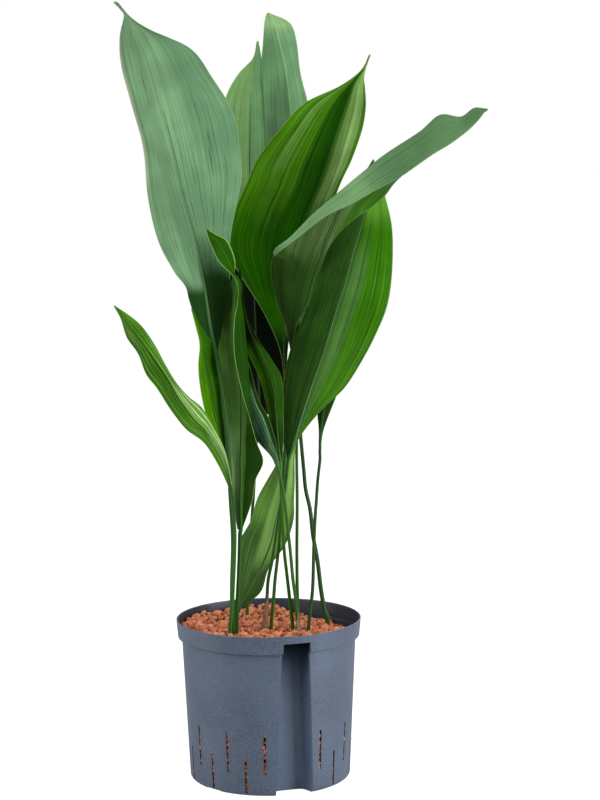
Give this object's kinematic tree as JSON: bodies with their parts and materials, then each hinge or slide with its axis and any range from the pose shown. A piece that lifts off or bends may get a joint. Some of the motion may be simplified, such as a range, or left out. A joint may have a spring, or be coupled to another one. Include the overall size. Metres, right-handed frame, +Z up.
{
  "type": "potted cast iron plant",
  "caption": "Cast iron plant (Aspidistra elatior) with broad pointed leaves on slender stems, in a round slotted culture pot filled with clay granules.",
  "frame": {"origin": "on the ground under the middle of the pot", "axes": "+Z up, -Y towards the front of the plant, +X to the right as it faces the front"},
  "size_m": [0.4163, 0.2796, 0.9134],
  "materials": {
    "pot_plastic": "blue-grey, satin",
    "expanded_clay": "fired, rough",
    "rhizome": "fresh, matte",
    "leaf": "living leaf, satin",
    "dry_sheath": "dry, matte"
  },
  "bodies": {
    "root": {"pot": "pot_plastic", "clay_fill": "expanded_clay", "rhizome": "rhizome", "leaf_tall_left": "leaf", "leaf_back_top": "leaf", "leaf_back_left": "leaf", "leaf_centre": "leaf", "leaf_sweep_right": "leaf", "leaf_broad_right": "leaf", "leaf_rolled": "leaf", "leaf_slim_left": "leaf", "leaf_striped_left": "leaf", "leaf_low_centre": "leaf", "leaf_back_right": "leaf", "leaf_inner_olive": "leaf", "leaf_inner_folded": "leaf", "sheath_front": "dry_sheath", "sheath_right": "dry_sheath"}
  },
  "joints": []
}
